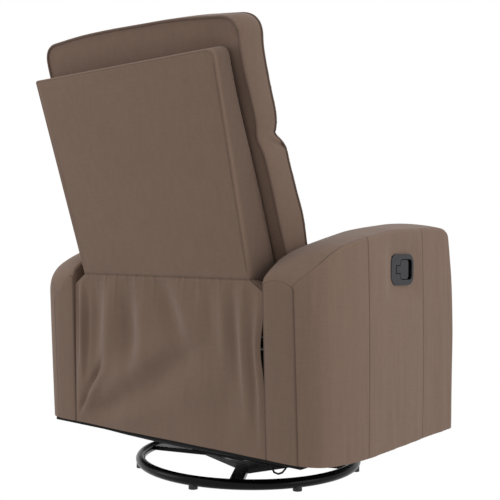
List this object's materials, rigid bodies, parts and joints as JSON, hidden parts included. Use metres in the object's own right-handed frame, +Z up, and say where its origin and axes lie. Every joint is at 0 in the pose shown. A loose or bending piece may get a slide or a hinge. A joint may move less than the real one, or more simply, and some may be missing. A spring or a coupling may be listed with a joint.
{
  "type": "swivel glider recliner",
  "caption": "Upholstered armchair that swivels on a floor ring, glides, reclines and opens a footrest with a recessed side handle.",
  "frame": {"origin": "on the floor, at the middle of the chair's outline at rest; the swivel axis stands 62 mm in front of it", "axes": "+Z up, -Y towards the chair's front, -X towards the side with the release handle"},
  "size_m": [0.846, 0.7312, 0.9839],
  "materials": {
    "upholstery": "woven",
    "dark_steel": "satin",
    "plated_steel": "satin",
    "frame_wood": "matt",
    "handle_plastic": "satin"
  },
  "bodies": {
    "base": {"base_ring": "dark_steel", "base_arms": "dark_steel", "hub_plate": "dark_steel", "floor_glides": "handle_plastic", "swivel_bolt": "plated_steel", "swivel_lower_race": "plated_steel"},
    "bearing": {"bearing_cage": "plated_steel", "bearing_balls": "plated_steel"},
    "turntable": {"swivel_upper_race": "plated_steel", "turntable_plate": "dark_steel", "glider_crossmembers": "dark_steel", "glider_uprights": "dark_steel", "link_top_pins": "plated_steel"},
    "front_links": {"front_swing_links": "dark_steel"},
    "rear_links": {"rear_swing_links": "dark_steel"},
    "chassis": {"mechanism_side_plates": "dark_steel", "link_bottom_pins": "plated_steel", "cross_tubes": "dark_steel", "seat_side_rails": "frame_wood", "seat_front_rail": "frame_wood", "seat_rear_rail": "frame_wood", "seat_springs": "plated_steel", "seat_cushion": "upholstery", "left_arm": "upholstery", "right_arm": "upholstery", "arm_frames": "frame_wood", "arm_bolts": "plated_steel", "dust_rails": "dark_steel", "rear_skirt": "upholstery", "handle_bezel": "handle_plastic", "handle_pin": "plated_steel", "release_cable": "dark_steel", "latch_pin": "plated_steel", "back_hinge_plates": "dark_steel", "back_pivot_bolts": "plated_steel"},
    "paddle": {"handle_paddle": "handle_plastic"},
    "latch": {"release_latch": "dark_steel"},
    "backrest": {"back_brackets": "dark_steel", "back_shell": "upholstery", "back_cushion": "upholstery"},
    "lower_links": {"foot_lower_links": "dark_steel", "foot_lower_rivets": "plated_steel"},
    "cross_links": {"foot_cross_links": "dark_steel", "foot_cross_rivets": "plated_steel"},
    "front_foot_links": {"foot_front_links": "dark_steel", "foot_front_rivets": "plated_steel"},
    "lift_links": {"foot_lift_links": "dark_steel", "foot_lift_rivets": "plated_steel"},
    "footrest": {"footrest_brackets": "dark_steel", "footrest_board": "frame_wood", "footrest_pad": "upholstery"}
  },
  "joints": [
    {"name": "swivel", "type": "hinge", "parent": "base", "child": "turntable", "pos_m": [0, -0.062, 0], "axis": [0, 0, 1], "continuous": true},
    {"name": "bearing_roll", "type": "hinge", "parent": "base", "child": "bearing", "pos_m": [0, -0.062, 0], "axis": [0, 0, 1], "continuous": true},
    {"name": "glide", "type": "hinge", "parent": "turntable", "child": "front_links", "pos_m": [0, -0.162, 0.22], "axis": [1, 0, 0], "range_deg": [-25, 25]},
    {"name": "glide_level", "type": "hinge", "parent": "front_links", "child": "chassis", "pos_m": [0, -0.162, 0.11], "axis": [1, 0, 0], "range_deg": [-25, 25]},
    {"name": "glide_rear", "type": "hinge", "parent": "turntable", "child": "rear_links", "pos_m": [0, 0.038, 0.22], "axis": [1, 0, 0], "range_deg": [-25, 25]},
    {"name": "recline", "type": "hinge", "parent": "chassis", "child": "backrest", "pos_m": [0, 0.128, 0.35], "axis": [-1, 0, 0], "range_deg": [0, 35], "deforming": ["rear_skirt"]},
    {"name": "footrest_open", "type": "hinge", "parent": "chassis", "child": "lower_links", "pos_m": [0, -0.212, 0.335], "axis": [-1, 0, 0], "range_deg": [0, 53]},
    {"name": "footrest_cross", "type": "hinge", "parent": "lower_links", "child": "cross_links", "pos_m": [0, -0.23279, 0.23719], "axis": [-1, 0, 0], "range_deg": [-106, 0]},
    {"name": "footrest_front", "type": "hinge", "parent": "cross_links", "child": "front_foot_links", "pos_m": [0, -0.25358, 0.335], "axis": [-1, 0, 0], "range_deg": [0, 106]},
    {"name": "footrest_lift", "type": "hinge", "parent": "lower_links", "child": "lift_links", "pos_m": [0, -0.25358, 0.13937], "axis": [-1, 0, 0], "range_deg": [-106, 0]},
    {"name": "footrest_tilt", "type": "hinge", "parent": "lift_links", "child": "footrest", "pos_m": [0, -0.29516, 0.335], "axis": [-1, 0, 0], "range_deg": [0, 143.01]},
    {"name": "paddle_pull", "type": "hinge", "parent": "chassis", "child": "paddle", "pos_m": [-0.4075, -0.027, 0.469], "axis": [0, 0, -1], "range_deg": [0, 30], "stiffness_Nm_per_rad": 0.4},
    {"name": "latch_lift", "type": "hinge", "parent": "chassis", "child": "latch", "pos_m": [-0.2009, 0.002, 0.204], "axis": [1, 0, 0], "range_deg": [0, 15]}
  ],
  "couplings": [
    {"joint": "bearing_roll", "follows": "swivel", "ratio": 0.5},
    {"joint": "glide_level", "follows": "glide", "ratio": -1},
    {"joint": "glide_rear", "follows": "glide", "ratio": 1},
    {"joint": "footrest_cross", "follows": "footrest_open", "ratio": -2},
    {"joint": "footrest_front", "follows": "footrest_open", "ratio": 2},
    {"joint": "footrest_lift", "follows": "footrest_open", "ratio": -2},
    {"joint": "footrest_tilt", "follows": "footrest_open", "ratio": 2.6981},
    {"joint": "latch_lift", "follows": "paddle_pull", "ratio": 0.5}
  ]
}
